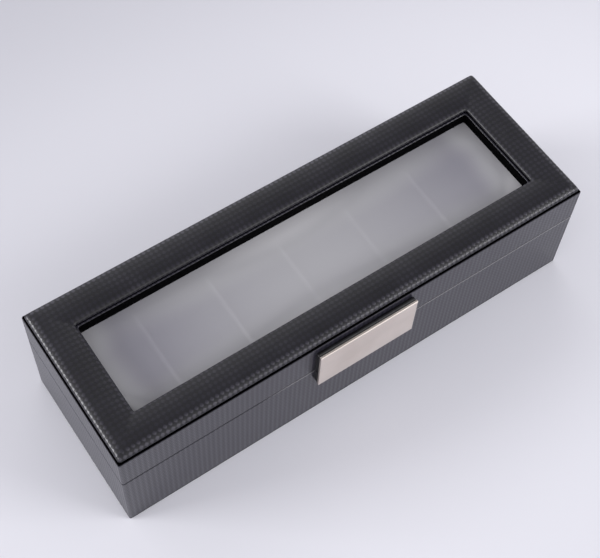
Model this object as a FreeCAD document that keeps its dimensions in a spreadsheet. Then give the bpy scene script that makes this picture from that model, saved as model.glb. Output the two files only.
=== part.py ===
import FreeCAD, Part
import operator
import os
from math import sqrt
from types import SimpleNamespace

import Sketcher

# Watch box with six places, a hinged lid with a padded window frame, and a hinged clasp flap.
# Millimetres. X runs along the box, the front faces -Y, Z is up, and the origin is the middle
# of the underside.

SIZES = {
    # Overall box
    "box_length": 305,
    "box_width": 102,
    "base_height": 51,           # table to the middle of the seam
    "lid_height": 25,            # middle of the seam to the top of the lid's band
    "seam_gap": 0.5,
    # Boards and coverings
    "wrap_thickness": 0.8,
    "board_thickness": 9,
    "top_thickness": 6.8,        # the lid's top board
    "floor_thickness": 4,
    "felt_proud": 0.4,           # felt stands this far below the wrap's lower edge
    "lining_thickness": 2.5,
    "corner_round": 1.2,
    "seam_round": 0.6,
    "band_round": 0.9,
    # Padded frame and window
    "pad_height": 4.2,
    "pad_inset": 1.1,
    "pad_tuck": 0.9,             # foot of the pad's outer side, drawn in from its edge
    "pad_edge_height": 1.3,      # height of the pad's outermost line
    "pad_roll": 5,               # width of the rolled outer edge
    "pad_crown": 0.4,            # rise of the pad's top above its rolled outer edge
    "pad_lip_roll": 0.9,         # width of the rolled edge at the window
    "pad_lip_drop": 1.3,         # fall of the pad's top towards the window
    "pad_end_rail": 19.9,        # width of the padded frame at the ends
    "pad_side_rail": 19.9,       # width of the padded frame at front and back
    "window_ledge": 0.9,         # lid's edge that shows inside the pad's opening
    "window_round": 1.4,
    "pane_thickness": 2,
    "pane_lap": 6,
    "pane_clearance": 0.3,
    "retainer_height": 4,
    "retainer_step": 1.5,        # retainer that shows inside the lid's opening
    # Dividers and pillows
    "divider_thickness": 2.5,
    "divider_height": 31,
    "divider_round": 1,
    "pillow_side_gap": 0.6,
    "pillow_end_gap": 2.2,
    "pillow_foot_inset": 6.5,    # flat foot, in from the pillow's length at each end
    "pillow_shoulder_inset": 5.5,
    "pillow_shoulder_height": 27,
    "pillow_crown": 10,
    "pillow_end_draw": 9,        # length and height lost at the pillow's two faces
    # Hinges
    "hinge_spacing": 190,        # between the middles of the two hinges
    "hinge_length": 36,
    "hinge_leaf_width": 7.5,
    "hinge_knuckle_radius": 1.9,
    "hinge_pin_radius": 0.9,
    "hinge_stand": 0.3,          # knuckle clear of the back face
    "hinge_screw_spacing": 20,
    "hinge_screw_inset": 4.4,    # screw from the back face
    "knuckle_gap": 0.2,
    "pin_clearance": 0.05,
    # Screws
    "screw_radius": 0.8,
    "screw_sink": 0.6,
    "screw_length": 8,
    "screw_clearance": 0.05,
    # Clasp
    "clasp_axis_height": 19.3,   # pin above the middle of the seam
    "clasp_knuckle_radius": 1.3,
    "clasp_pin_radius": 0.6,
    "clasp_stand": 0.3,          # knuckle clear of the front face
    "clasp_seam": 0.3,           # bracket and keeper back from the rims
    "clasp_screw_spacing": 46,
    "clasp_screw_height": 9,     # bracket's screws above its lower edge
    "keeper_height": 10,
    "flap_thickness": 0.6,
    "flap_gap": 0.2,             # flap clear of the bracket and the keeper
    "flap_margin": 1,            # plate's lower edge past the flap's
    "plate_width": 64.4,
    "plate_height": 31.4,
    "plate_thickness": 1.4,
    "plate_bevel": 0.3,
    "plate_knuckle_gap": 0.3,    # knuckles clear of the plate's back
    "plate_swing_gap": 0.3,      # plate's upper edge clear of the front face when it is up
    "plate_side": 0.3,           # plate's side past the clasp body's
    "magnet_length": 24,
    "magnet_height": 4,
    "magnet_depth": 1.5,
    "magnet_clearance": 0.05,
}
PLACES = 6
CLASP_KNUCKLES = 5
QUARTER_RISE = 1 - sqrt(0.5)     # rise of a quarter circle, in radii
TOLERANCE = 0.01


class Size:
    """A length that carries its sheet formula along with its present value."""

    def __init__(self, text, value):
        self.text = text
        self.value = value

    def __add__(self, other):
        return joined(self, "+", other)

    def __radd__(self, other):
        return joined(other, "+", self)

    def __sub__(self, other):
        return joined(self, "-", other)

    def __rsub__(self, other):
        return joined(other, "-", self)

    def __mul__(self, other):
        return joined(self, "*", other)

    def __rmul__(self, other):
        return joined(other, "*", self)

    def __truediv__(self, other):
        return joined(self, "/", other)

    def __neg__(self):
        return joined(0, "-", self)


OPERATORS = {"+": operator.add, "-": operator.sub, "*": operator.mul, "/": operator.truediv}


def as_size(value):
    return value if isinstance(value, Size) else Size("(%r)" % value, value)


def joined(left, sign, right):
    left = as_size(left)
    right = as_size(right)
    return Size("(%s %s %s)" % (left.text, sign, right.text), OPERATORS[sign](left.value, right.value))


def size_sheet(document):
    """Write the driving dimensions to a sheet and return them as named sizes."""
    sheet = document.addObject("Spreadsheet::Sheet", "Sizes")
    named = SimpleNamespace()
    for row, (name, value) in enumerate(SIZES.items(), start=1):
        sheet.set("A%d" % row, name)
        sheet.set("B%d" % row, str(value))
        sheet.setAlias("B%d" % row, name)
        setattr(named, name, Size("Sizes." + name, value))
    document.recompute()
    return named


doc = FreeCAD.newDocument("WatchBox")
s = size_sheet(doc)
nodes = []

# Levels, from the table up
wrap_foot = s.felt_proud
board_foot = s.felt_proud + s.wrap_thickness
floor_top = board_foot + s.floor_thickness + s.lining_thickness
rim_top = s.base_height - s.seam_gap / 2
lid_bottom = s.base_height + s.seam_gap / 2
lid_top = s.base_height + s.lid_height
frame_bottom = lid_top - s.wrap_thickness - s.top_thickness
retainer_bottom = frame_bottom - s.retainer_height

# Plan sizes, as length and width pairs
outside = (s.box_length, s.box_width)


def inset(plan, margin):
    """Shrink a plan size by a margin on every side."""
    return (plan[0] - 2 * margin, plan[1] - 2 * margin)


boards_outside = inset(outside, s.wrap_thickness)
boards_inside = inset(boards_outside, s.board_thickness)
lined_inside = inset(boards_inside, s.lining_thickness)
pad_outside = inset(outside, s.pad_inset)
window = (pad_outside[0] - 2 * s.pad_end_rail, pad_outside[1] - 2 * s.pad_side_rail)
lid_opening = inset(window, s.window_ledge)
pane_plan = inset(lid_opening, -s.pane_lap)
divider_pitch = (lined_inside[0] + s.divider_thickness) / PLACES
back_face = s.box_width / 2
front_face = -back_face


# Tools of the document

def keep(piece):
    nodes.append(piece)
    return piece


def bind(piece, **formulas):
    for name, size in formulas.items():
        piece.setExpression(name.replace("__", "."), as_size(size).text)


def place(piece, x=0, y=0, z=0):
    bind(piece, Placement__Base__x=x, Placement__Base__y=y, Placement__Base__z=z)


def block(label, plan, height, x=0, y=0, z=0):
    """A plain board or sheet, centred on x and y, standing on z."""
    piece = doc.addObject("Part::Box", label)
    bind(piece, Length=plan[0], Width=plan[1], Height=height)
    place(piece, x - plan[0] / 2, y - plan[1] / 2, z)
    return piece


def new_body(label):
    return doc.addObject("PartDesign::Body", label)


def new_sketch(body, role, offset=0):
    """A sketch on one of the body's planes, moved along that plane's normal."""
    sketch = body.newObject("Sketcher::SketchObject", body.Label + "_sketch")
    plane = next(item for item in body.Origin.OriginFeatures if item.Role == role)
    sketch.AttachmentSupport = (plane, [""])
    sketch.MapMode = "FlatFace"
    bind(sketch, AttachmentOffset__Base__z=offset)
    return sketch


def constrain(sketch, kind, size, *places):
    number = sketch.addConstraint(Sketcher.Constraint(kind, *places, as_size(size).value))
    sketch.setExpression("Constraints[%d]" % number, as_size(size).text)


def add_outline(sketch, points, rises=None):
    """A closed outline, listed anticlockwise. A side named in rises is an arc that bulges by its rise."""
    rises = rises or {}
    first = sketch.GeometryCount
    count = len(points)
    corners = [FreeCAD.Vector(as_size(x).value, as_size(y).value, 0) for x, y in points]
    for number in range(count):
        start = corners[number]
        end = corners[(number + 1) % count]
        if number in rises:
            chord = end - start
            outward = FreeCAD.Vector(chord.y, -chord.x, 0).normalize()
            middle = (start + end) / 2 + outward * rises[number].value
            sketch.addGeometry(Part.Arc(start, middle, end), False)
        else:
            sketch.addGeometry(Part.LineSegment(start, end), False)
    for number, (x, y) in enumerate(points):
        following = (number + 1) % count
        sketch.addConstraint(Sketcher.Constraint("Coincident", first + number, 2, first + following, 1))
        constrain(sketch, "DistanceX", x, -1, 1, first + number, 1)
        constrain(sketch, "DistanceY", y, -1, 1, first + number, 1)
    for number, rise in rises.items():
        start_x, start_y = points[number]
        end_x, end_y = points[(number + 1) % count]
        run = end_x - start_x
        climb = end_y - start_y
        constrain(sketch, "Radius", (run * run + climb * climb) / (8 * rise) + rise / 2, first + number)


def add_rectangle(sketch, plan, x=0, y=0):
    left = x - plan[0] / 2
    right = x + plan[0] / 2
    low = y - plan[1] / 2
    high = y + plan[1] / 2
    add_outline(sketch, [(left, low), (right, low), (right, high), (left, high)])


def add_circle(sketch, radius, x=0, y=0):
    centre = FreeCAD.Vector(as_size(x).value, as_size(y).value, 0)
    circle = Part.Circle(centre, FreeCAD.Vector(0, 0, 1), radius.value)
    number = sketch.addGeometry(circle, False)
    constrain(sketch, "DistanceX", x, -1, 1, number, 3)
    constrain(sketch, "DistanceY", y, -1, 1, number, 3)
    constrain(sketch, "Radius", radius, number)


def pad(sketch, length, both_ways=False):
    body = sketch.getParentGeoFeatureGroup()
    feature = body.newObject("PartDesign::Pad", body.Label + "_pad")
    feature.Profile = sketch
    feature.SideType = "Symmetric" if both_ways else "One side"
    bind(feature, Length=length)
    return feature


def pocket(sketch, depth=None, reverse=False):
    """Cut a sketch into its body, right through where no depth is given, and see that it cuts."""
    body = sketch.getParentGeoFeatureGroup()
    doc.recompute()
    before = body.Shape.Volume
    feature = body.newObject("PartDesign::Pocket", body.Label + "_pocket")
    feature.Profile = sketch
    feature.Reversed = reverse
    if depth is None:
        feature.Type = "ThroughAll"
        feature.SideType = "Symmetric"
    else:
        bind(feature, Length=depth)
    doc.recompute()
    if not body.Shape.Volume < before:
        raise RuntimeError(feature.Label + " cuts nothing")
    return feature


def ring(body, outer, inner, foot, height):
    """Pad a rectangular ring onto a body."""
    sketch = new_sketch(body, "XY_Plane", foot)
    add_rectangle(sketch, outer)
    add_rectangle(sketch, inner)
    return pad(sketch, height)


def dress(body, kind, test, size):
    """Fillet or chamfer the edges of the body's tip that pass the test."""
    doc.recompute()
    base = body.Tip
    names = ["Edge%d" % n for n, edge in enumerate(base.Shape.Edges, 1) if test(edge)]
    if not names:
        raise RuntimeError(body.Label + " has no such edge")
    feature = body.newObject("PartDesign::" + kind, body.Label + "_" + kind)
    feature.Base = (base, names)
    bind(feature, **{"Radius" if kind == "Fillet" else "Size": size})
    return feature


def reach(low, high):
    return max(abs(low), abs(high))


def upright_at(plan):
    """Test for the upright edges at the corners of a plan."""
    def test(edge):
        box = edge.BoundBox
        at_corner = (abs(abs(box.Center.x) - plan[0].value / 2) < TOLERANCE
                     and abs(abs(box.Center.y) - plan[1].value / 2) < TOLERANCE)
        return at_corner and box.ZLength > TOLERANCE
    return test


def level_edge(edge, height):
    box = edge.BoundBox
    return box.ZLength < TOLERANCE and abs(box.Center.z - as_size(height).value) < TOLERANCE


def outer_rim(height):
    """Test for the edges round the outside of the box at one height."""
    def test(edge):
        box = edge.BoundBox
        far = (reach(box.XMin, box.XMax) > s.box_length.value / 2 - TOLERANCE
               or reach(box.YMin, box.YMax) > s.box_width.value / 2 - TOLERANCE)
        return far and level_edge(edge, height)
    return test


def inner_rim(plan, height):
    """Test for the edges round an opening at one height."""
    def test(edge):
        box = edge.BoundBox
        near = (reach(box.XMin, box.XMax) < plan[0].value / 2 + TOLERANCE
                and reach(box.YMin, box.YMax) < plan[1].value / 2 + TOLERANCE)
        return near and level_edge(edge, height)
    return test


# Screw places, shared by the screws and by every hole they pass

hinge_middle = s.hinge_spacing / 2
hinge_screw_y = back_face - s.hinge_screw_inset
hinge_screw_places = [
    (side * hinge_middle + end * s.hinge_screw_spacing / 2, hinge_screw_y)
    for side in (-1, 1) for end in (-1, 1)
]
bracket_foot = lid_bottom + s.clasp_seam
keeper_top = rim_top - s.clasp_seam
keeper_foot = keeper_top - s.keeper_height
bracket_screw_z = bracket_foot + s.clasp_screw_height
keeper_screw_z = keeper_foot + s.keeper_height / 2
clasp_screw_xs = [side * s.clasp_screw_spacing / 2 for side in (-1, 1)]
screw_hole = s.screw_radius + s.screw_clearance
clasp_axis_y = front_face - s.clasp_stand - s.clasp_knuckle_radius
flap_front = clasp_axis_y - s.clasp_knuckle_radius - s.plate_knuckle_gap
flap_back = flap_front + s.flap_thickness
clasp_front = flap_back + s.flap_gap
clasp_body_depth = front_face - clasp_front
clasp_hole_depth = s.screw_length - clasp_body_depth


def drill_down(body, top, depth, reverse=False):
    """Pilot holes for the hinge screws, down from a face or, reversed, up into it."""
    sketch = new_sketch(body, "XY_Plane", top)
    for x, y in hinge_screw_places:
        add_circle(sketch, screw_hole, x, y)
    pocket(sketch, depth, reverse)


def drill_front(body, height, start=front_face, depth=clasp_hole_depth):
    """Pilot holes for the clasp's screws, straight in from the front."""
    sketch = new_sketch(body, "XZ_Plane", -start)
    for x in clasp_screw_xs:
        add_circle(sketch, screw_hole, x, height)
    pocket(sketch, depth)


# Base

def wall_board(label, plan, height, x, y, z):
    body = new_body(label)
    sketch = new_sketch(body, "XY_Plane", z)
    add_rectangle(sketch, plan, x, y)
    pad(sketch, height)
    return keep(body)


def wall_boards(prefix, suffix, foot, top):
    """Four boards round the box: long ones at front and back, short ones between them."""
    height = top - foot
    long_plan = (boards_outside[0], s.board_thickness)
    short_plan = (s.board_thickness, boards_inside[1])
    y = (boards_outside[1] - s.board_thickness) / 2
    x = (boards_outside[0] - s.board_thickness) / 2
    front = wall_board(prefix + "_front_" + suffix, long_plan, height, 0, -y, foot)
    back = wall_board(prefix + "_back_" + suffix, long_plan, height, 0, y, foot)
    wall_board(prefix + "_left_" + suffix, short_plan, height, -x, 0, foot)
    wall_board(prefix + "_right_" + suffix, short_plan, height, x, 0, foot)
    return front, back


def lined_card(label, plan, height, x, y, z, rounded_along=None):
    """A lined card. The two upper edges along X or Y are rounded where a direction is given."""
    body = new_body(label)
    sketch = new_sketch(body, "XY_Plane", z)
    add_rectangle(sketch, plan, x, y)
    pad(sketch, height)
    if rounded_along is not None:
        def test(edge):
            box = edge.BoundBox
            run = box.XLength if rounded_along == "X" else box.YLength
            return level_edge(edge, z + height) and run > s.divider_thickness.value + TOLERANCE
        dress(body, "Fillet", test, s.divider_round)
    return keep(body)


def liner_cards(prefix, foot, top):
    """Four lined cards against the inside of the boards."""
    height = top - foot
    long_plan = (boards_inside[0], s.lining_thickness)
    short_plan = (s.lining_thickness, lined_inside[1])
    y = (boards_inside[1] - s.lining_thickness) / 2
    x = (boards_inside[0] - s.lining_thickness) / 2
    lined_card(prefix + "_front", long_plan, height, 0, -y, foot)
    lined_card(prefix + "_back", long_plan, height, 0, y, foot)
    lined_card(prefix + "_left", short_plan, height, -x, 0, foot)
    lined_card(prefix + "_right", short_plan, height, x, 0, foot)


def notch_for_leaves(body, face, reverse=False):
    """Clear the wrap off the rim where the hinge leaves lie on the board."""
    leaf_plan = (s.hinge_length + 2 * s.knuckle_gap, s.hinge_leaf_width + s.knuckle_gap)
    sketch = new_sketch(body, "XY_Plane", face)
    for side in (-1, 1):
        add_rectangle(sketch, leaf_plan, side * hinge_middle, back_face - leaf_plan[1] / 2)
    pocket(sketch, s.wrap_thickness, reverse)


def make_base():
    keep(block("base_felt", boards_inside, s.felt_proud + s.wrap_thickness))
    keep(block("base_floor_panel", boards_inside, s.floor_thickness, z=board_foot))
    front, back = wall_boards("base", "wall", board_foot, rim_top - s.wrap_thickness)
    drill_front(front, keeper_screw_z)
    drill_down(back, rim_top - s.wrap_thickness, s.screw_length - s.wrap_thickness)


def make_base_wrap():
    """Leatherette round the walls, over the rim and turned under the lower edge."""
    body = new_body("base_wrap")
    ring(body, outside, boards_inside, wrap_foot, s.wrap_thickness)
    ring(body, outside, boards_outside, wrap_foot, rim_top - wrap_foot)
    ring(body, outside, boards_inside, rim_top - s.wrap_thickness, s.wrap_thickness)
    dress(body, "Fillet", upright_at(outside), s.corner_round)
    dress(body, "Fillet", outer_rim(rim_top), s.seam_round)
    dress(body, "Fillet", outer_rim(wrap_foot), s.seam_round)
    notch_for_leaves(body, rim_top)
    drill_front(body, keeper_screw_z)
    keep(body)


def make_lining():
    lining_foot = board_foot + s.floor_thickness
    keep(block("liner_floor", boards_inside, s.lining_thickness, z=lining_foot))
    liner_cards("liner", floor_top, rim_top)
    for number in range(1, PLACES):
        x = (number - PLACES / 2) * divider_pitch
        plan = (s.divider_thickness, lined_inside[1])
        lined_card("divider_%d" % number, plan, s.divider_height, x, 0, floor_top, "Y")


# Pillows

def pillow_section(body, offset, draw):
    """One cross-section of a pillow: flat foot, bulging ends and a crowned top."""
    half = lined_inside[1] / 2 - s.pillow_end_gap - draw / 2
    foot = half - s.pillow_foot_inset
    shoulder = half - s.pillow_shoulder_inset
    height = s.pillow_shoulder_height - draw / 2
    bulge = (s.pillow_foot_inset + s.pillow_shoulder_inset) / 2
    sketch = new_sketch(body, "YZ_Plane", offset)
    points = [(-foot, 0), (foot, 0), (shoulder, height), (-shoulder, height)]
    add_outline(sketch, points, {1: bulge, 2: s.pillow_crown - draw / 4, 3: bulge})
    return sketch


def make_pillows():
    """Pillows that swell from their two faces to the middle."""
    half = (divider_pitch - s.divider_thickness) / 2 - s.pillow_side_gap
    for number in range(1, PLACES + 1):
        body = new_body("pillow_%d" % number)
        left = pillow_section(body, -half, s.pillow_end_draw)
        middle = pillow_section(body, 0, as_size(0))
        right = pillow_section(body, half, s.pillow_end_draw)
        loft = body.newObject("PartDesign::AdditiveLoft", body.Label + "_loft")
        loft.Profile = left
        loft.Sections = [middle, right]
        place(body, (number - (PLACES + 1) / 2) * divider_pitch, 0, floor_top)
        keep(body)


# Lid

def make_lid_boards():
    front, back = wall_boards("lid", "rail", lid_bottom + s.wrap_thickness, frame_bottom)
    drill_front(front, bracket_screw_z)
    drill_down(back, lid_bottom + s.wrap_thickness, s.screw_length - s.wrap_thickness, reverse=True)
    frame = new_body("lid_top_frame")
    ring(frame, boards_outside, inset(lid_opening, -s.wrap_thickness), frame_bottom, s.top_thickness)
    keep(frame)


def make_lid_wrap():
    """Leatherette under the lid's rim, up its walls, over the top and down into the window."""
    body = new_body("lid_wrap")
    ring(body, outside, boards_inside, lid_bottom, s.wrap_thickness)
    ring(body, outside, boards_outside, lid_bottom, lid_top - lid_bottom)
    ring(body, outside, lid_opening, lid_top - s.wrap_thickness, s.wrap_thickness)
    ring(body, inset(lid_opening, -s.wrap_thickness), lid_opening, frame_bottom, lid_top - frame_bottom)
    dress(body, "Fillet", upright_at(outside), s.corner_round)
    dress(body, "Fillet", outer_rim(lid_top), s.band_round)
    dress(body, "Fillet", outer_rim(lid_bottom), s.seam_round)
    dress(body, "Fillet", upright_at(lid_opening), s.window_round)
    dress(body, "Fillet", inner_rim(lid_opening, lid_top), s.seam_round)
    notch_for_leaves(body, lid_bottom, reverse=True)
    drill_front(body, bracket_screw_z)
    keep(body)


def make_window():
    keep(block("window_pane", pane_plan, s.pane_thickness, z=frame_bottom - s.pane_thickness))
    body = new_body("pane_retainer")
    ring(body, boards_inside, inset(lid_opening, s.retainer_step), retainer_bottom, s.retainer_height)
    sketch = new_sketch(body, "XY_Plane", frame_bottom)
    add_rectangle(sketch, inset(pane_plan, -s.pane_clearance))
    pocket(sketch, s.pane_thickness)
    keep(body)
    liner_cards("lid_liner", lid_bottom, retainer_bottom)


def tangent_arc(start, direction, end):
    """The arc from start to end that leaves start along a direction."""
    chord = end - start
    side = (chord - direction * chord.dot(direction)).normalize()
    radius = chord.dot(chord) / (2 * chord.dot(side))
    centre = start + side * radius
    middle = centre + ((start - centre) + (end - centre)).normalize() * radius
    return Part.Arc(start, middle, end)


def pad_section(x_side, y_side):
    """The padded frame's section in the mitre plane of one corner, from the outer corner inwards."""
    outer = FreeCAD.Vector(x_side * pad_outside[0].value / 2, y_side * pad_outside[1].value / 2, lid_top.value)
    inner = FreeCAD.Vector(x_side * window[0].value / 2, y_side * window[1].value / 2, lid_top.value)
    rail = s.pad_end_rail.value
    shoulder = s.pad_height.value - s.pad_crown.value
    lip_height = s.pad_height.value - s.pad_lip_drop.value
    inwards = (inner - outer).normalize()
    up = FreeCAD.Vector(0, 0, 1)

    def at(inward, height):
        return outer + (inner - outer) * (inward / rail) + up * height

    foot = at(s.pad_tuck.value, 0)
    edge = at(0, s.pad_edge_height.value)
    roll = at(s.pad_roll.value, shoulder)
    top = at(rail / 2, s.pad_height.value)
    lip = at(rail - s.pad_lip_roll.value, lip_height)
    lip_edge = at(rail, lip_height - s.pad_lip_roll.value)
    lip_foot = at(rail, 0)
    curves = [
        tangent_arc(edge, -up, foot),
        tangent_arc(roll, -inwards, edge),
        Part.Arc(roll, top, lip),
        tangent_arc(lip, inwards, lip_edge),
        Part.LineSegment(lip_edge, lip_foot),
        Part.LineSegment(lip_foot, foot),
    ]
    return [curve.toShape() for curve in curves]


def make_top_pad():
    """Padded frame: one crowned section carried round the window through its four mitres."""
    corners = [pad_section(x, y) for x, y in ((-1, -1), (1, -1), (1, 1), (-1, 1))]
    faces = []
    for here, there in zip(corners, corners[1:] + corners[:1]):
        faces += [Part.makeRuledSurface(a, b) for a, b in zip(here, there)]
    shell = Part.makeShell(faces)
    shell.sewShape()
    piece = doc.addObject("Part::Feature", "lid_top_pad")
    piece.Shape = Part.makeSolid(shell)
    keep(piece)


# Hinges

hinge_axis_y = back_face + s.hinge_stand + s.hinge_knuckle_radius
hinge_bore = s.hinge_pin_radius + s.pin_clearance
side_knuckle = s.hinge_length / 4


def make_hinge_leaf(label, x, up, knuckles):
    """A leaf on the rim with its knuckles. up is 1 on the lid and -1 on the base."""
    low = s.seam_gap / 2 if up > 0 else -(s.seam_gap / 2 + s.wrap_thickness)
    neck_end = -(s.hinge_knuckle_radius + s.hinge_stand)
    body = new_body(label)
    plate = new_sketch(body, "XY_Plane", low)
    add_rectangle(plate, (s.hinge_length, s.hinge_leaf_width), 0, neck_end - s.hinge_leaf_width / 2)
    pad(plate, s.wrap_thickness)
    for start, length in knuckles:
        neck = new_sketch(body, "XY_Plane", low)
        add_rectangle(neck, (length, -neck_end), start + length / 2, neck_end / 2)
        pad(neck, s.wrap_thickness)
        barrel = new_sketch(body, "YZ_Plane", start)
        add_circle(barrel, s.hinge_knuckle_radius)
        pad(barrel, length)
    bore = new_sketch(body, "YZ_Plane")
    add_circle(bore, hinge_bore)
    pocket(bore)
    holes = new_sketch(body, "XY_Plane", low + s.wrap_thickness)
    for end in (-1, 1):
        screw_y = neck_end - s.hinge_screw_inset
        add_circle(holes, screw_hole, end * s.hinge_screw_spacing / 2, screw_y)
    pocket(holes, s.wrap_thickness)
    sunk = low if up > 0 else low + s.wrap_thickness

    def hole_edge(edge):
        round_edge = edge.Curve.TypeId == "Part::GeomCircle"
        return round_edge and level_edge(edge, sunk) and edge.Curve.Axis.z != 0

    dress(body, "Chamfer", hole_edge, s.screw_sink)
    place(body, x, hinge_axis_y, s.base_height)
    keep(body)


def make_hinges():
    """Two butt hinges. The base leaf has the outer knuckles and the lid leaf the middle one."""
    half = s.hinge_length / 2
    outer_length = side_knuckle - s.knuckle_gap
    base_knuckles = [(-half, outer_length), (half - outer_length, outer_length)]
    lid_knuckles = [(-(half - side_knuckle), s.hinge_length - 2 * side_knuckle)]
    for side, name in ((-1, "left"), (1, "right")):
        x = side * hinge_middle
        make_hinge_leaf("hinge_%s_base_leaf" % name, x, -1, base_knuckles)
        make_hinge_leaf("hinge_%s_lid_leaf" % name, x, 1, lid_knuckles)
        pin = new_body("hinge_%s_pin" % name)
        sketch = new_sketch(pin, "YZ_Plane")
        add_circle(sketch, s.hinge_pin_radius)
        pad(sketch, s.hinge_length, both_ways=True)
        place(pin, x, hinge_axis_y, s.base_height)
        keep(pin)


# Clasp

clasp_axis_z = s.base_height + s.clasp_axis_height
clasp_block_top = clasp_axis_z - s.clasp_knuckle_radius - s.knuckle_gap
clasp_body_width = s.plate_width - 2 * s.plate_side
clasp_knuckle_pitch = clasp_body_width / CLASP_KNUCKLES
plate_top = clasp_axis_z + s.clasp_stand + s.clasp_knuckle_radius - s.plate_swing_gap
plate_foot = plate_top - s.plate_height


def clasp_slab(body, back, front, foot, top):
    """Pad a slab the width of the clasp's body between two depths and two heights."""
    sketch = new_sketch(body, "YZ_Plane")
    add_outline(sketch, [(front, foot), (back, foot), (back, top), (front, top)])
    pad(sketch, clasp_body_width, both_ways=True)


def clasp_knuckle_starts(first):
    """Every second knuckle's start along X, and its length."""
    length = clasp_knuckle_pitch - s.knuckle_gap
    return [((n - CLASP_KNUCKLES / 2) * clasp_knuckle_pitch + s.knuckle_gap / 2, length)
            for n in range(first, CLASP_KNUCKLES, 2)]


def clasp_bore(body):
    sketch = new_sketch(body, "YZ_Plane")
    add_circle(sketch, s.clasp_pin_radius + s.pin_clearance, clasp_axis_y, clasp_axis_z)
    pocket(sketch)


def sink_front(body):
    """Countersink the clasp's screw holes in the front of its body."""
    def hole_edge(edge):
        if edge.Curve.TypeId != "Part::GeomCircle":
            return False
        return abs(edge.Curve.Center.y - clasp_front.value) < TOLERANCE
    dress(body, "Chamfer", hole_edge, s.screw_sink)


def make_clasp_bracket():
    """Body on the lid: a slab with three round-topped knuckles for the pin."""
    body = new_body("clasp_bracket")
    clasp_slab(body, front_face, clasp_front, bracket_foot, clasp_block_top)
    knuckle_front = clasp_axis_y - s.clasp_knuckle_radius
    knuckle_back = clasp_axis_y + s.clasp_knuckle_radius
    points = [
        (knuckle_front, clasp_block_top),
        (front_face, clasp_block_top),
        (front_face, clasp_axis_z),
        (knuckle_back, clasp_axis_z),
        (clasp_axis_y, clasp_axis_z + s.clasp_knuckle_radius),
        (knuckle_front, clasp_axis_z),
    ]
    quarter = s.clasp_knuckle_radius * QUARTER_RISE
    for start, length in clasp_knuckle_starts(0):
        sketch = new_sketch(body, "YZ_Plane", start)
        add_outline(sketch, points, {3: quarter, 4: quarter})
        pad(sketch, length)
    clasp_bore(body)
    drill_front(body, bracket_screw_z, clasp_front, clasp_body_depth)
    sink_front(body)
    keep(body)


def make_clasp_flap():
    """Steel leaf behind the plate, curled round the pin at two knuckles."""
    body = new_body("clasp_flap")
    clasp_slab(body, flap_back, flap_front, plate_foot + s.flap_margin, clasp_block_top)
    web_foot = clasp_axis_z - s.clasp_knuckle_radius
    points = [
        (flap_front, clasp_block_top),
        (flap_back, clasp_block_top),
        (flap_back, web_foot),
        (clasp_axis_y, web_foot),
        (clasp_axis_y, clasp_axis_z),
        (flap_front, clasp_axis_z),
    ]
    for start, length in clasp_knuckle_starts(1):
        web = new_sketch(body, "YZ_Plane", start)
        add_outline(web, points)
        pad(web, length)
        barrel = new_sketch(body, "YZ_Plane", start)
        add_circle(barrel, s.clasp_knuckle_radius, clasp_axis_y, clasp_axis_z)
        pad(barrel, length)
    clasp_bore(body)
    keep(body)


def make_face_plate():
    """Plain plate on the flap with its front edges bevelled."""
    body = new_body("clasp_face_plate")
    sketch = new_sketch(body, "XZ_Plane", -flap_front)
    add_rectangle(sketch, (s.plate_width, s.plate_height), 0, plate_top - s.plate_height / 2)
    pad(sketch, s.plate_thickness)
    front = flap_front - s.plate_thickness

    def front_edge(edge):
        box = edge.BoundBox
        return box.YLength < TOLERANCE and abs(box.Center.y - front.value) < TOLERANCE

    dress(body, "Chamfer", front_edge, s.plate_bevel)
    keep(body)


def make_keeper():
    """Block on the base that the flap shuts against, with a bar magnet let into its front."""
    body = new_body("clasp_keeper")
    clasp_slab(body, front_face, clasp_front, keeper_foot, keeper_top)
    drill_front(body, keeper_screw_z, clasp_front, clasp_body_depth)
    sink_front(body)
    recess = new_sketch(body, "XZ_Plane", -clasp_front)
    magnet_plan = (s.magnet_length, s.magnet_height)
    add_rectangle(recess, inset(magnet_plan, -s.magnet_clearance), 0, keeper_screw_z)
    pocket(recess, s.magnet_depth)
    keep(body)
    keep(block("clasp_magnet", (s.magnet_length, s.magnet_depth), s.magnet_height,
               y=clasp_front + s.magnet_depth / 2, z=keeper_screw_z - s.magnet_height / 2))


def make_clasp_pin():
    body = new_body("clasp_pin")
    sketch = new_sketch(body, "YZ_Plane")
    add_circle(sketch, s.clasp_pin_radius, clasp_axis_y, clasp_axis_z)
    pad(sketch, clasp_body_width, both_ways=True)
    keep(body)


# Screws

def make_screw():
    """One countersunk screw, head at the origin and point along -Z."""
    body = new_body("screw")
    sketch = new_sketch(body, "XZ_Plane")
    points = [
        (0, 0),
        (0, -s.screw_length + s.screw_sink / 2),
        (s.screw_radius, -s.screw_length + s.screw_radius + s.screw_sink / 2),
        (s.screw_radius, -s.screw_sink),
        (s.screw_radius + s.screw_sink, 0),
    ]
    add_outline(sketch, points)
    turn = body.newObject("PartDesign::Revolution", "screw_turn")
    turn.Profile = sketch
    turn.ReferenceAxis = (sketch, ["V_Axis"])
    doc.recompute()
    return body.Shape


def screw_group(label, screw, places, direction):
    """Copies of the screw with their heads at the given places, all pointing one way."""
    turn = FreeCAD.Rotation(FreeCAD.Vector(0, 0, -1), FreeCAD.Vector(*direction))
    copies = []
    for x, y, z in places:
        copy = screw.copy()
        copy.Placement = FreeCAD.Placement(FreeCAD.Vector(x.value, y.value, z.value), turn)
        copies.append(copy)
    piece = doc.addObject("Part::Feature", label)
    piece.Shape = Part.makeCompound(copies)
    keep(piece)


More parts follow.
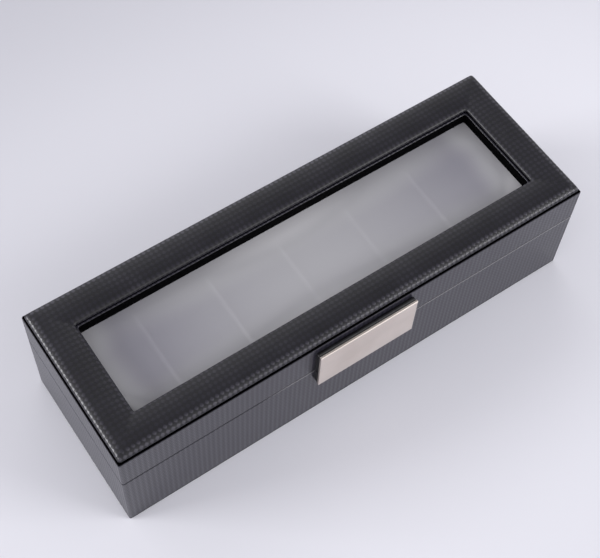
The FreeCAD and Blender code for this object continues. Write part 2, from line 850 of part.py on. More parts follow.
def make_screws():
    screw = make_screw()
    screw_group("hinge_base_screws", screw, [(x, y, rim_top) for x, y in hinge_screw_places], (0, 0, -1))
    screw_group("hinge_lid_screws", screw, [(x, y, lid_bottom) for x, y in hinge_screw_places], (0, 0, 1))
    for label, height in (("clasp_bracket_screws", bracket_screw_z), ("clasp_keeper_screws", keeper_screw_z)):
        screw_group(label, screw, [(x, clasp_front, height) for x in clasp_screw_xs], (0, 1, 0))


def write_parts():
    """Check every object, then write one file for each piece."""
    doc.recompute()
    for item in doc.Objects:
        if "Invalid" in item.State or "Error" in item.State:
            raise RuntimeError("%s did not build: %s" % (item.Label, item.State))
    for piece in nodes:
        if piece.Shape.isNull() or not piece.Shape.isValid() or not piece.Shape.Volume > 0:
            raise RuntimeError(piece.Label + " has no valid solid")
    os.makedirs("parts", exist_ok=True)
    for piece in nodes:
        piece.Shape.exportStep("parts/%s.step" % piece.Label)


make_base()
make_base_wrap()
make_lining()
make_pillows()
make_lid_boards()
make_lid_wrap()
make_window()
make_top_pad()
make_hinges()
make_clasp_bracket()
make_clasp_flap()
make_face_plate()
make_keeper()
make_clasp_pin()
make_screws()
write_parts()
print("%d pieces written" % len(nodes))
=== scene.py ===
from math import copysign, cos, pi, sin

import bpy
from mathutils import Matrix, Vector, noise


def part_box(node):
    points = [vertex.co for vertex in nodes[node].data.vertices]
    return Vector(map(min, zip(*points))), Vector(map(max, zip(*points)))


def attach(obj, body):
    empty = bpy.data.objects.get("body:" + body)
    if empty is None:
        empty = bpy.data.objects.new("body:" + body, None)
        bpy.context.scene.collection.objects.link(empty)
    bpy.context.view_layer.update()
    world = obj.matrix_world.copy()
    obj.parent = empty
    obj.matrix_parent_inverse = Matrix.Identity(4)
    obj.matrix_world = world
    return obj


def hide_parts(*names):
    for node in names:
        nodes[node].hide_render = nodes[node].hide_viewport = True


# Looks of a six-place watch box: embossed black leatherette, a padded window frame, a hazy pane,
# a brushed nickel clasp plate and a velvet lining. Metres, in the frame of the solids.

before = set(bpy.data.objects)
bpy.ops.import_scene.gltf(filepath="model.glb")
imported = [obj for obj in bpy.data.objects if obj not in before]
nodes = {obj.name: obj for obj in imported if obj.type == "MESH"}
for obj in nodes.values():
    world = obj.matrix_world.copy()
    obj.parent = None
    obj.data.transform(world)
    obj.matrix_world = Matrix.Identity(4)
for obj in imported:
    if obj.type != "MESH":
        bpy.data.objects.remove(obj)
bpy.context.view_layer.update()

MM = 0.001

# Emboss of the leatherette
DOT_PITCH = 3.1 * MM            # between raised dots, both ways
DOT_START = (-1.5 * MM, 0.6 * MM)
DOT_HEIGHT = 0.1 * MM           # where the covering is stretched over an edge
FLAT_DOT_HEIGHT = 0.05 * MM
STEEP_SHARE = 0.7               # of the height, left on the steep side of an edge
INNER_SHARE = 0.35              # of the stretch, along the window
RIB_PITCH = 2.0 * MM
RIB_HEIGHT = 0.04 * MM
RIB_TONE = 0.4                  # share of the ribs in the walls' colour
COLUMN_HEIGHT = 0.05 * MM
GRAIN_HEIGHT = 0.02 * MM
WALL_SPECULAR = 0.57
FACING = 0.7                    # a face looks along an axis when its normal has more than this on it

# Painted shade: places where the covering of the walls is painted near-black, in the seam, along the foot
# and under the pad, and the window's inner walls
SEAM_LEVEL = 51 * MM
SEAM_FADE = (0.25 * MM, 0.5 * MM)
RIM_HALF = (151.3 * MM, 49.8 * MM)  # inside this the rim shows only with the lid up
FOOT_FADE = (1.0 * MM, 2.2 * MM)
BAND_LEVEL = 76 * MM
BAND_FADE = (BAND_LEVEL - 0.5 * MM, BAND_LEVEL - 0.1 * MM)
BAND_EDGE = BAND_LEVEL - 0.3 * MM
WELL_HALF = (130.9 * MM, 29.4 * MM)
LEDGE_HALF = (131.7 * MM, 30.2 * MM)
PAINTED_SHADE_COLOUR = (0.0022, 0.0021, 0.0026, 1)
PAINTED_SHADE_ROUGHNESS = 0.9

# Painted highlight along the rounded edge of the base's rim
RIM_LEVEL = 50.4 * MM
RIM_FADE = (0.2 * MM, 0.55 * MM)
RIM_START = (-70 * MM, -45 * MM)
RIM_HIGHLIGHT_COLOUR = (0.17, 0.168, 0.18, 1)

# Padded frame, section across one end rail: distance in from the outer edge and height, in millimetres
PAD_SECTION = [
    (0.9, 0.0), (0.45, 0.18), (0.12, 0.55), (0.0, 1.05), (0.06, 1.5), (0.36, 2.15), (0.9, 2.75), (1.7, 3.25),
    (2.7, 3.65), (3.9, 3.95), (5.4, 4.17), (7.4, 4.3), (9.8, 4.34), (12.6, 4.22), (15.2, 3.93), (17.4, 3.5),
    (18.6, 3.18), (19.2, 2.92), (19.6, 2.55), (19.85, 2.1), (19.9, 1.5), (19.9, 0.0),
]
PAD_SECTION_HEIGHT = 4.34 * MM
PAD_RAIL = 19.9                 # width of the frame, in millimetres
PAD_STEP = 2.5 * MM             # between stations along the frame
PAD_SWELL = 0.14 * MM           # unevenness of the filling
PAD_SWELL_SCALE = 45.0          # swellings per metre
FOLD_DEPTH = 0.35 * MM          # mitre fold at the corners
FOLD_WIDTH = 1.1 * MM
FOLD_REACH = 0.4                # share of the rail's width that the fold crosses

# Pane, and the milky film on top of it, whose tone runs from 0, palest, to 1
PANE_HALF = 130.6 * MM          # half the length of the pane that shows
PANE_FACES = (67.3 * MM, 67.5 * MM)  # levels that part the pane's lower face from its upper one
CLEAR_COVER = 0.03              # of the lower face
FILM_COVER = (0.5, 0.68)        # of the upper face, at the front and at the back
FILM_TINT = (1.09, 0.83)        # of the film's colour, so that its denser back isn't lighter
FILM_SPREAD = (-22 * MM, 2 * MM)  # from front to back
FILM_SHADES = [(0.0, (0.89, 0.885, 0.915)), (0.3, (0.655, 0.65, 0.685)), (1.0, (0.405, 0.397, 0.456))]
FILM_LENGTH_POWER = 1.5         # how late the tone deepens from the middle to the ends
FILM_LENGTH_SHARE = 0.7         # of the tone
FILM_BACK_DEEPENING = 12.0      # of the tone at the ends, per metre towards the back
FILM_UNEVENNESS = 0.2
PAINTED_EDGE_LIGHT_TONE = (0.335, -0.065)  # painted light: deeper along the middle, paler along the front and the back
PAINTED_EDGE_LIGHT_SPAN = (8 * MM, 30 * MM)
FILM_SHIFT = 2.5 * MM           # of the deepest line towards the front
PAINTED_END_LIGHT = 0.85            # painted light, paler again along the two ends
PAINTED_END_LIGHT_SPAN = (108 * MM, 134 * MM)
FILM_END_SHIFT = 1.5 * MM       # of the paler ends towards the left

# Pillows
PLACES = 6
PILLOW_RINGS = 20
PILLOW_TURNS = 40
PILLOW_SIDE_POWER = 0.45        # below 1 is blockier, seen from above
PILLOW_END_POWER = 0.75         # below 1 is blockier, seen from the side
PILLOW_START = 0.94             # size before it is stuffed, as a share of its solid's
PILLOW_PRESSURE = 4.0
PILLOW_TENSION = 40
PILLOW_BENDING = 2
PILLOW_FRAMES = 20
PILLOW_SWELL = 4 * MM           # most that a point moves
PILLOW_PRESSED = 0.12           # share of the height pressed flat underneath

# Studio: surround by how far a direction lies towards its dark side, from 0 to 1
DARK_SIDE = (0.35, 0.3, 0.89)
SURROUND = [(0.6, (1.0, 0.99, 1.02)), (0.86, (0.86, 0.85, 0.89)), (1.0, (0.08, 0.078, 0.09))]
SURROUND_STRENGTH = 0.92
# Painted pool of light on the floor, palest about the box
FLOOR_PAINTED_LIGHT_MIDDLE = (0.03, -0.04, 0)
FLOOR_HALF = 6.0
FLOOR_STRETCH = (0.6, 1, 1)     # of the distance from its palest place
FLOOR_FADE = (0.08, 0.42)
FLOOR_UNEVENNESS = 0.1
FLOOR_SHADES = [(0.0, (0.81, 0.81, 0.87)), (1.0, (0.54, 0.54, 0.59))]
LAMP_TARGET = (0, 0, 0.05)
SOFTBOXES = [                   # name, place, size and power in watts
    ("front_softbox", (0.9, -1.05, 0.95), (0.75, 0.6), 9.5),
    ("left_softbox", (-1.9, 0.9, 0.75), (0.9, 0.7), 26),
    ("back_softbox", (0.66, 1.43, 1.54), (1.2, 1.2), 5),
]

# Camera at the photographed view
CAMERA_PLACE = (-0.229548, -0.284726, 0.667747)
CAMERA_RIGHT = (0.82493, -0.56400, 0.03728)
CAMERA_UP = (0.47138, 0.72285, 0.50527)
CAMERA_BACK = (-0.31192, -0.39924, 0.86216)
CAMERA_LENS = 75.756            # for the default sensor, 36 mm wide


# Node graphs

class Graph:
    """The nodes of one material or of the world, added and linked by short calls."""

    def __init__(self, owner, shader="Principled BSDF"):
        owner.use_nodes = True
        self.owner = owner
        self.nodes = owner.node_tree.nodes
        self.links = owner.node_tree.links
        self.shader = self.nodes[shader]

    def set(self, node, inputs):
        for name, value in inputs.items():
            socket = node.inputs[name]
            if isinstance(value, bpy.types.NodeSocket):
                self.links.new(value, socket)
            else:
                socket.default_value = value
        return node

    def add(self, kind, inputs=None, **settings):
        node = self.nodes.new("ShaderNode" + kind)
        for name, value in settings.items():
            setattr(node, name, value)
        return self.set(node, inputs or {})

    def finish(self, **inputs):
        """Set the shader's inputs, named with underscores for spaces."""
        self.set(self.shader, {name.replace("_", " "): value for name, value in inputs.items()})
        return self.owner

    def math(self, operation, first, second=0.0, third=0.0):
        node = self.add("Math", {0: first, 1: second, 2: third}, operation=operation)
        return node.outputs[0]

    def axes(self, vector):
        return self.add("SeparateXYZ", {"Vector": vector}).outputs

    def place(self):
        """Place on the piece, in metres of its own frame."""
        return self.add("TexCoord").outputs["Object"]

    def noise(self, scale, stretch=(1, 1, 1), detail=2.0):
        mapped = self.add("Mapping", {"Vector": self.place(), "Scale": stretch})
        node = self.add("TexNoise", {"Vector": mapped.outputs[0], "Scale": scale, "Detail": detail})
        return node.outputs["Fac"]

    def between(self, factor, low, high, start=0.0, end=1.0):
        """A number that eases from low to high as the factor runs from start to end."""
        inputs = {"Value": factor, "From Min": start, "From Max": end, "To Min": low, "To Max": high}
        return self.add("MapRange", inputs, interpolation_type="SMOOTHSTEP").outputs[0]

    def shades(self, factor, *stops):
        """Colours along a factor, given as (position, colour) pairs."""
        node = self.add("ValToRGB", {"Fac": factor})
        elements = node.color_ramp.elements
        while len(elements) < len(stops):
            elements.new(1.0)
        for element, (position, colour) in zip(elements, stops):
            element.position = position
            element.color = (*colour, 1)
        return node.outputs["Color"]

    def blend(self, factor, first, second):
        node = self.add("Mix", data_type="RGBA")
        self.set(node, {"Factor": factor})
        self.links.new(first, node.inputs[6])
        node.inputs[7].default_value = second
        return node.outputs[2]

    def bump(self, height, distance, under=None):
        inputs = {"Height": height, "Distance": distance}
        if under is not None:
            inputs["Normal"] = under
        return self.add("Bump", inputs).outputs[0]


def new_finish(name):
    return Graph(bpy.data.materials.new(name))


def wave(graph, coordinate, pitch, start=0.0):
    """A cosine along one coordinate, with a crest at its start."""
    turns = graph.math("MULTIPLY", graph.math("SUBTRACT", coordinate, start), 2 * pi / pitch)
    return graph.math("COSINE", turns)


def sheet_place(graph):
    """Two coordinates in the covering's own plane, picked by the way a face of the box looks."""
    x, y, z = graph.axes(graph.place())
    normal_x, _, normal_z = graph.axes(graph.add("TexCoord").outputs["Normal"])
    on_end = graph.math("GREATER_THAN", graph.math("ABSOLUTE", normal_x), FACING)
    on_top = graph.math("GREATER_THAN", graph.math("ABSOLUTE", normal_z), FACING)
    along = graph.add("Mix", {"Factor": on_end, "A": x, "B": y}).outputs[0]
    across = graph.add("Mix", {"Factor": on_top, "A": z, "B": y}).outputs[0]
    return along, across


def within(graph, x, y, half):
    """One inside an upright block about the middle, nothing outside."""
    in_length = graph.math("LESS_THAN", graph.math("ABSOLUTE", x), half[0])
    in_width = graph.math("LESS_THAN", graph.math("ABSOLUTE", y), half[1])
    return graph.math("MULTIPLY", in_length, in_width)


def painted_shade_places(graph):
    """How far a place on the walls is painted near-black: painted shade in the seam, along the foot and
    under the pad, and the window's inner walls.
    """
    x, y, z = graph.axes(graph.place())
    off_seam = graph.math("ABSOLUTE", graph.math("SUBTRACT", z, SEAM_LEVEL))
    outer = graph.math("SUBTRACT", 1.0, within(graph, x, y, RIM_HALF))
    seam = graph.math("MULTIPLY", graph.between(off_seam, 1.0, 0.0, *SEAM_FADE), outer)
    foot = graph.between(z, 1.0, 0.0, *FOOT_FADE)
    top = graph.between(z, 0.0, 1.0, *BAND_FADE)
    above = graph.math("GREATER_THAN", z, BAND_EDGE)
    ledge = graph.math("MULTIPLY", within(graph, x, y, LEDGE_HALF), above)
    top = graph.math("SUBTRACT", top, ledge)
    below = graph.math("SUBTRACT", 1.0, above)
    well = graph.math("MULTIPLY", within(graph, x, y, WELL_HALF), below)
    return graph.math("MAXIMUM", graph.math("MAXIMUM", seam, foot), graph.math("MAXIMUM", top, well))


def painted_rim_highlight(graph):
    """How far a place lies in the painted highlight on the edge of the base's rim, to the right of the left
    end.
    """
    x, _, z = graph.axes(graph.place())
    off_rim = graph.math("ABSOLUTE", graph.math("SUBTRACT", z, RIM_LEVEL))
    rim = graph.between(off_rim, 1.0, 0.0, *RIM_FADE)
    return graph.math("MULTIPLY", rim, graph.between(x, 0.0, 1.0, *RIM_START))


def leatherette():
    """Covering of the box's walls: upright columns crossed by fine ribs, over a fine grain, with painted
    shade in its crevices and a painted highlight along the base's rim.
    """
    graph = new_finish("leatherette")
    along, across = sheet_place(graph)
    columns = graph.math("MULTIPLY_ADD", wave(graph, along, DOT_PITCH), 0.5, 0.5)
    ribs = graph.math("MULTIPLY", wave(graph, along, DOT_PITCH), wave(graph, across, RIB_PITCH))
    tone = graph.math("MULTIPLY_ADD", ribs, RIB_TONE, columns)
    colour = graph.shades(tone, (0.1, (0.0142, 0.0134, 0.0205)), (0.9, (0.0325, 0.0308, 0.0448)))
    # Painted shade: the seam, the foot and the strip under the pad are painted near-black, and so are the
    # window's inner walls
    painted_shade_share = painted_shade_places(graph)
    # Painted highlight along the base's rim edge, right of the left end
    colour = graph.blend(painted_rim_highlight(graph), colour, RIM_HIGHLIGHT_COLOUR)
    colour = graph.blend(painted_shade_share, colour, PAINTED_SHADE_COLOUR)
    dull = graph.math("MULTIPLY", painted_shade_share, PAINTED_SHADE_ROUGHNESS)
    rough = graph.math("MAXIMUM", graph.between(columns, 0.34, 0.28), dull)
    normal = graph.bump(graph.noise(2600), GRAIN_HEIGHT)
    normal = graph.bump(ribs, RIB_HEIGHT, normal)
    normal = graph.bump(columns, COLUMN_HEIGHT, normal)
    # Metallic on the painted shade keeps those near-black places from reflecting anything
    return graph.finish(Base_Color=colour, Metallic=painted_shade_share, Roughness=rough, Normal=normal,
                        Specular_IOR_Level=WALL_SPECULAR)


def pad_leatherette():
    """The same covering on the padded frame: raised dots, painted lighter than the grooves as a painted
    highlight, most on the rolled edges.
    """
    graph = new_finish("pad_leatherette")
    along, across, _ = graph.axes(graph.add("UVMap", uv_map="Unrolled").outputs[0])
    lattice = graph.math("ADD", wave(graph, along, DOT_PITCH, DOT_START[0]),
                         wave(graph, across, DOT_PITCH, DOT_START[1]))
    dots = graph.between(lattice, 0.0, 1.0, -0.6, 1.1)
    x, y, _ = graph.axes(graph.place())
    normal_x, normal_y, normal_z = graph.axes(graph.add("TexCoord").outputs["Normal"])
    tilt = graph.math("SUBTRACT", 1.0, normal_z)
    outward = graph.math("MULTIPLY_ADD", normal_x, x, graph.math("MULTIPLY", normal_y, y))
    pull = graph.between(outward, INNER_SHARE, 1.0, -MM, MM)
    stretch_and_painted_highlight = graph.math("MULTIPLY", graph.between(tilt, 0.0, 1.0, 0.0, 0.05), pull)
    relief = graph.math("MULTIPLY_ADD", stretch_and_painted_highlight, (DOT_HEIGHT - FLAT_DOT_HEIGHT) / MM,
                        FLAT_DOT_HEIGHT / MM)
    relief = graph.math("MULTIPLY", relief, graph.between(tilt, 1.0, STEEP_SHARE, 0.08, 0.25))
    worn = graph.noise(60)
    # Painted highlight: the dots are painted lighter than the grooves, most where the covering rolls over an
    # edge
    painted_dot_highlight = graph.math("MULTIPLY_ADD", stretch_and_painted_highlight, 0.45, 0.25)
    tone = graph.math("MULTIPLY_ADD", dots, painted_dot_highlight, graph.math("MULTIPLY", worn, 0.4))
    colour = graph.shades(tone, (0.15, (0.0034, 0.0031, 0.0056)), (0.45, (0.0098, 0.009, 0.0148)),
                          (0.95, (0.055, 0.0528, 0.067)))
    rough = graph.math("MULTIPLY_ADD", stretch_and_painted_highlight, -0.08, graph.between(dots, 0.46, 0.4))
    normal = graph.bump(graph.math("MULTIPLY", dots, relief), MM)
    return graph.finish(Base_Color=colour, Roughness=rough, Normal=normal)


def velvet(name, dark, light, sheen):
    graph = new_finish(name)
    pile = graph.noise(900, detail=4)
    brushed = graph.noise(35)
    mixed = graph.math("MULTIPLY_ADD", pile, 0.4, graph.math("MULTIPLY", brushed, 0.6))
    colour = graph.shades(mixed, (0.3, dark), (0.7, light))
    normal = graph.bump(pile, 0.12 * MM)
    return graph.finish(Base_Color=colour, Roughness=0.95, Normal=normal, Sheen_Weight=sheen,
                        Sheen_Roughness=0.45)


def hazy_pane():
    """Clear plastic with a milky film on top, palest about the middle and denser towards the back, with
    painted light along its front and back edges and its ends.
    """
    graph = new_finish("pane")
    x, y, z = graph.axes(graph.place())
    along = graph.math("ABSOLUTE", graph.math("DIVIDE", x, PANE_HALF))
    off_middle = graph.math("POWER", along, FILM_LENGTH_POWER)
    deepening = graph.math("MULTIPLY_ADD", y, FILM_BACK_DEEPENING, 1.0)
    deepening = graph.math("MULTIPLY", off_middle, deepening)
    cloud = graph.noise(14, stretch=(1, 2.5, 1), detail=0)
    film = graph.math("MULTIPLY_ADD", cloud, FILM_UNEVENNESS, deepening)
    off_centre = graph.math("ABSOLUTE", graph.math("ADD", y, FILM_SHIFT))
    # Painted light: the tone is paler along the front and the back edges, deeper along the middle
    edge = graph.between(off_centre, *PAINTED_EDGE_LIGHT_TONE, *PAINTED_EDGE_LIGHT_SPAN)
    film = graph.math("MULTIPLY_ADD", film, FILM_LENGTH_SHARE, edge)
    off_end = graph.math("ABSOLUTE", graph.math("ADD", x, FILM_END_SHIFT))
    # Painted light: paler again along the two ends
    film = graph.math("SUBTRACT", film, graph.between(off_end, 0.0, PAINTED_END_LIGHT, *PAINTED_END_LIGHT_SPAN))
    colour = graph.shades(film, *FILM_SHADES)
    colour.node.color_ramp.interpolation = "EASE"
    tint = graph.between(y, *FILM_TINT, *FILM_SPREAD)
    colour = graph.add("VectorMath", {0: colour, "Scale": tint}, operation="SCALE").outputs[0]
    film_cover = graph.between(y, *FILM_COVER, *FILM_SPREAD)
    cover = graph.between(z, CLEAR_COVER, film_cover, *PANE_FACES)
    return graph.finish(Base_Color=colour, Roughness=0.3, IOR=1.45, Alpha=cover)


def brushed_nickel():
    graph = new_finish("plate_nickel")
    strokes = graph.noise(700, stretch=(0.02, 1, 1), detail=5)
    cloud = graph.noise(40)
    colour = graph.shades(cloud, (0.3, (0.72, 0.645, 0.59)), (0.75, (0.83, 0.755, 0.70)))
    rough = graph.between(strokes, 0.40, 0.55)
    normal = graph.bump(strokes, 0.012 * MM)
    return graph.finish(Base_Color=colour, Metallic=1.0, Roughness=rough, Normal=normal)


def plain_metal(name, dark, light, low, high, metallic):
    """Painted or bare metal with faint clouding."""
    graph = new_finish(name)
    cloud = graph.noise(220, detail=4)
    colour = graph.shades(cloud, (0.3, dark), (0.75, light))
    rough = graph.between(cloud, low, high)
    normal = graph.bump(graph.noise(1800), 0.01 * MM)
    return graph.finish(Base_Color=colour, Metallic=metallic, Roughness=rough, Normal=normal)


def fibreboard():
    graph = new_finish("board")
    fibres = graph.noise(500, stretch=(0.15, 1, 1), detail=5)
    colour = graph.shades(fibres, (0.3, (0.30, 0.21, 0.13)), (0.75, (0.47, 0.35, 0.24)))
    return graph.finish(Base_Color=colour, Roughness=0.85, Normal=graph.bump(fibres, 0.08 * MM))


def felt():
    graph = new_finish("felt")
    fibres = graph.noise(1200, detail=5)
    colour = graph.shades(fibres, (0.3, (0.012, 0.012, 0.013)), (0.75, (0.035, 0.035, 0.038)))
    return graph.finish(Base_Color=colour, Roughness=1.0, Normal=graph.bump(fibres, 0.2 * MM))


finishes = {
    "leatherette": leatherette(),
    "board": fibreboard(),
    "felt": felt(),
    "lining_velvet": velvet("lining_velvet", (0.10, 0.098, 0.11), (0.17, 0.167, 0.182), 0.15),
    # The dividers' paler copy of the velvet is painted light on their tops
    "painted_light_divider_velvet": velvet("painted_light_divider_velvet", (0.52, 0.515, 0.53), (0.64, 0.635, 0.65), 0.15),
    "pillow_velvet": velvet("pillow_velvet", (0.085, 0.083, 0.095), (0.14, 0.137, 0.15), 0.1),
    "pane": hazy_pane(),
    "plate_nickel": brushed_nickel(),
    "black_metal": plain_metal("black_metal", (0.008, 0.008, 0.009), (0.016, 0.016, 0.018),
                               0.38, 0.55, 0.0),
    "hinge_steel": plain_metal("hinge_steel", (0.46, 0.45, 0.43), (0.6, 0.59, 0.57),
                               0.28, 0.42, 1.0),
}


def dress_solids():
    """Give every solid the finish of its material slot, the dividers a paler copy of the velvet as painted
    light on their tops.
    """
    for name, solid in nodes.items():
        for holder in solid.material_slots:
            pale = name.startswith("divider")
            holder.material = finishes["painted_light_divider_velvet" if pale else holder.material.name]


# Pieces

def new_piece(name, points, faces, finish):
    mesh = bpy.data.meshes.new(name)
    mesh.from_pydata(points, [], faces)
    mesh.materials.append(finish)
    mesh.shade_smooth()
    piece = bpy.data.objects.new(name, mesh)
    bpy.context.scene.collection.objects.link(piece)
    return piece


def smooth(piece, levels):
    modifier = piece.modifiers.new("smooth", "SUBSURF")
    modifier.levels = levels
    modifier.render_levels = levels


def mount(piece, body, slot, *solids):
    """Fix a piece to a body, in place of its solids."""
    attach(piece, body)
    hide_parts(*solids)


# Padded frame

def station_shares(length):
    """Shares of the way along one side of the frame, its far corner left to the next side."""
    count = round(length / PAD_STEP)
    return [number / count for number in range(count)]


def section_lengths():
    """Length of the covering from the window's edge to each point of the section."""
    lengths = [0.0]
    for here, there in zip(PAD_SECTION[::-1], PAD_SECTION[-2::-1]):
        lengths.append(lengths[-1] + (Vector(there) - Vector(here)).length * MM)
    return lengths[::-1]


def fold_dip(point, corner, inward, share):
    """Depth of the mitre fold at a point near one corner."""
    off = abs((point - corner).to_2d().cross(inward))
    return FOLD_DEPTH * max(0.0, 1 - share / FOLD_REACH) * max(0.0, 1 - off / FOLD_WIDTH)


def pad_loop(outer, inner, share, height):
    """One line of the section carried round the frame, dipped at the folds and unevenly filled."""
    corners = [a.lerp(b, share) for a, b in zip(outer, inner)]
    loop = []
    for number in range(4):
        start = corners[number]
        end = corners[(number + 1) % 4]
        for along in station_shares((outer[(number + 1) % 4] - outer[number]).length):
            loop.append(start.lerp(end, along))
    full = height / PAD_SECTION_HEIGHT
    for point in loop:
        swell = PAD_SWELL * noise.noise(point * PAD_SWELL_SCALE)
        dip = max(fold_dip(point, a, (b - a).to_2d().normalized(), share)
                  for a, b in zip(outer, inner))
        point.z += height + full * (swell - dip)
    return loop


def unroll(pad, sides, inner, lengths):
    """Lay the covering out flat, so that the emboss runs over the rolled edges."""
    layer = pad.data.uv_layers.new(name="Unrolled")
    station_count = len(sides)
    for face in pad.data.polygons:
        side = sides[face.index % station_count]
        for loop_index in face.loop_indices:
            vertex = pad.data.loops[loop_index].vertex_index
            point = pad.data.vertices[vertex].co
            reach = lengths[vertex // station_count]
            if side % 2 == 0:
                layer.data[loop_index].uv = (point.x, inner[side].y + (side - 1) * reach)
            else:
                layer.data[loop_index].uv = (inner[side].x + (2 - side) * reach, point.y)


def make_pad():
    """Padded frame on the lid, one closed form carried round the window."""
    low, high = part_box("lid_top_pad")
    outer = [Vector((x, y, low.z)) for x, y in
             ((low.x, low.y), (high.x, low.y), (high.x, high.y), (low.x, high.y))]
    rail = PAD_RAIL * MM
    inner = [Vector((corner.x - copysign(rail, corner.x), corner.y - copysign(rail, corner.y), low.z))
             for corner in outer]
    loops = [pad_loop(outer, inner, inset / PAD_RAIL, height * MM) for inset, height in PAD_SECTION]
    sides = [number for number in range(4)
             for _ in station_shares((outer[(number + 1) % 4] - outer[number]).length)]
    count = len(sides)
    faces = []
    for row in range(len(loops)):
        here = row * count
        there = (row + 1) % len(loops) * count
        for column in range(count):
            after = (column + 1) % count
            faces.append((here + column, here + after, there + after, there + column))
    points = [point for loop in loops for point in loop]
    pad = new_piece("padded_frame", points, faces, pad_leatherette())
    unroll(pad, sides, inner, section_lengths())
    smooth(pad, 1)
    mount(pad, "lid", "leatherette", "lid_top_pad")


# Pillows

def pillow_form(size):
    """Start shape of a pillow: a rounded block, a little smaller than the finished one."""
    rings = []
    for step in range(PILLOW_RINGS + 1):
        slope = pi * (step / PILLOW_RINGS - 0.5)
        rings.append([rounded(slope, 2 * pi * turn / PILLOW_TURNS, size)
                      for turn in range(PILLOW_TURNS)])
    points = [point for ring in rings[1:-1] for point in ring]
    first = len(points)
    points += [rings[0][0], rings[-1][0]]
    faces = []
    for row in range(PILLOW_RINGS - 2):
        for turn in range(PILLOW_TURNS):
            after = (turn + 1) % PILLOW_TURNS
            here = row * PILLOW_TURNS
            there = here + PILLOW_TURNS
            faces.append((here + turn, here + after, there + after, there + turn))
    last = (PILLOW_RINGS - 2) * PILLOW_TURNS
    for turn in range(PILLOW_TURNS):
        after = (turn + 1) % PILLOW_TURNS
        faces.append((first, after, turn))
        faces.append((first + 1, last + turn, last + after))
    return points, faces


def rounded(slope, turn, size):
    """A point of a rounded block, its poles at the pillow's two side panels."""
    def soft(value, power):
        return copysign(abs(value) ** power, value)
    x = soft(sin(slope), PILLOW_SIDE_POWER)
    ring = soft(cos(slope), PILLOW_SIDE_POWER)
    y = ring * soft(cos(turn), PILLOW_END_POWER)
    z = ring * soft(sin(turn), PILLOW_END_POWER)
    return Vector((x * size.x, y * size.y, z * size.z)) / 2


def inflate(piece):
    """Swell a closed form as stuffed cloth, with a limit on how far each point moves."""
    mesh = piece.data
    before = [vertex.co.copy() for vertex in mesh.vertices]
    cloth = piece.modifiers.new("stuffing", "CLOTH")
    cloth.settings.use_pressure = True
    cloth.settings.uniform_pressure_force = PILLOW_PRESSURE
    cloth.settings.effector_weights.gravity = 0
    cloth.settings.tension_stiffness = PILLOW_TENSION
    cloth.settings.bending_stiffness = PILLOW_BENDING
    for number in range(1, PILLOW_FRAMES + 1):
        bpy.context.scene.frame_set(number)
    graph = bpy.context.evaluated_depsgraph_get()
    after = [vertex.co.copy() for vertex in piece.evaluated_get(graph).data.vertices]
    piece.modifiers.remove(cloth)
    bpy.context.scene.frame_set(1)
    for vertex, start, end in zip(mesh.vertices, before, after):
        move = end - start
        move.length = min(move.length, PILLOW_SWELL)
        vertex.co = start + move


def fit(mesh, low, high):
    """Scale a mesh into a box about its own middle, and press its underside flat."""
    places = [vertex.co for vertex in mesh.vertices]
    least = Vector(min(place[axis] for place in places) for axis in range(3))
    most = Vector(max(place[axis] for place in places) for axis in range(3))
    size = high - low
    pressed = size.z * PILLOW_PRESSED
    for vertex in mesh.vertices:
        share = [(vertex.co[axis] - least[axis]) / (most[axis] - least[axis]) for axis in range(3)]
        height = share[2] * (size.z + pressed) - pressed
        vertex.co = ((share[0] - 0.5) * size.x, (share[1] - 0.5) * size.y, max(height, 0.0))


def make_pillows():
    """Six stuffed velvet pillows, cut alike."""
    low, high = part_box("pillow_1")
    points, faces = pillow_form((high - low) * PILLOW_START)
    finish = finishes["pillow_velvet"]
    first = new_piece("watch_pillow_1", points, faces, finish)
    inflate(first)
    fit(first.data, low, high)
    for number in range(1, PLACES + 1):
        solid = "pillow_%d" % number
        pillow = first
        if number > 1:
            pillow = bpy.data.objects.new("watch_pillow_%d" % number, first.data)
            bpy.context.scene.collection.objects.link(pillow)
        low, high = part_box(solid)
        pillow.location = ((low.x + high.x) / 2, (low.y + high.y) / 2, low.z)
        smooth(pillow, 1)
        mount(pillow, "base", "pillow_velvet", solid)


# Stage and camera

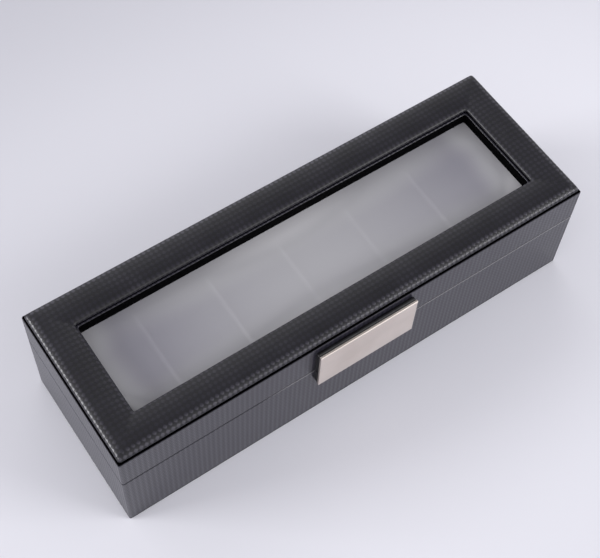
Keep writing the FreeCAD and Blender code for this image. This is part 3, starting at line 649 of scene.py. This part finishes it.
def make_floor():
    """Pale floor with a painted pool of light: palest about the box, a little darker away from it."""
    graph = new_finish("floor")
    place = graph.add("Mapping", {"Vector": graph.place(), "Scale": FLOOR_STRETCH}).outputs[0]
    distance = graph.add("VectorMath", {0: place, 1: FLOOR_PAINTED_LIGHT_MIDDLE}, operation="DISTANCE")
    fade = graph.between(distance.outputs["Value"], 0.0, 1.0, *FLOOR_FADE)
    tone = graph.math("MULTIPLY_ADD", graph.noise(1.5), FLOOR_UNEVENNESS, fade)
    finish = graph.finish(Base_Color=graph.shades(tone, *FLOOR_SHADES), Roughness=0.9)
    corners = [(x * FLOOR_HALF, y * FLOOR_HALF, 0) for x, y in ((-1, -1), (1, -1), (1, 1), (-1, 1))]
    floor = new_piece("floor", corners, [(0, 1, 2, 3)], finish)


def make_world():
    """Soft studio surround, brighter low down at the sides than overhead."""
    graph = Graph(bpy.data.worlds.new("studio"), "Background")
    direction = graph.add("TexCoord").outputs["Generated"]
    lean = graph.add("VectorMath", {0: direction, 1: DARK_SIDE}, operation="DOT_PRODUCT")
    surround = graph.shades(graph.math("MULTIPLY_ADD", lean.outputs["Value"], 0.5, 0.5), *SURROUND)
    bpy.context.scene.world = graph.finish(Color=surround, Strength=SURROUND_STRENGTH)


def add_softbox(name, place, size, power):
    """An area light that looks at the box."""
    light = bpy.data.lights.new(name, "AREA")
    light.shape = "RECTANGLE"
    light.size, light.size_y = size
    light.energy = power
    lamp = bpy.data.objects.new(name, light)
    lamp.location = place
    towards = Vector(LAMP_TARGET) - lamp.location
    lamp.rotation_euler = towards.to_track_quat("-Z", "Y").to_euler()
    bpy.context.scene.collection.objects.link(lamp)


def make_camera():
    data = bpy.data.cameras.new("camera")
    data.lens = CAMERA_LENS
    camera = bpy.data.objects.new("camera", data)
    turn = Matrix((CAMERA_RIGHT, CAMERA_UP, CAMERA_BACK)).transposed().to_4x4()
    camera.matrix_world = Matrix.Translation(CAMERA_PLACE) @ turn
    bpy.context.scene.collection.objects.link(camera)
    bpy.context.scene.camera = camera


dress_solids()
make_pad()
make_pillows()
make_floor()
make_world()
for softbox in SOFTBOXES:
    add_softbox(*softbox)
make_camera()
bpy.context.scene.view_settings.view_transform = "Standard"
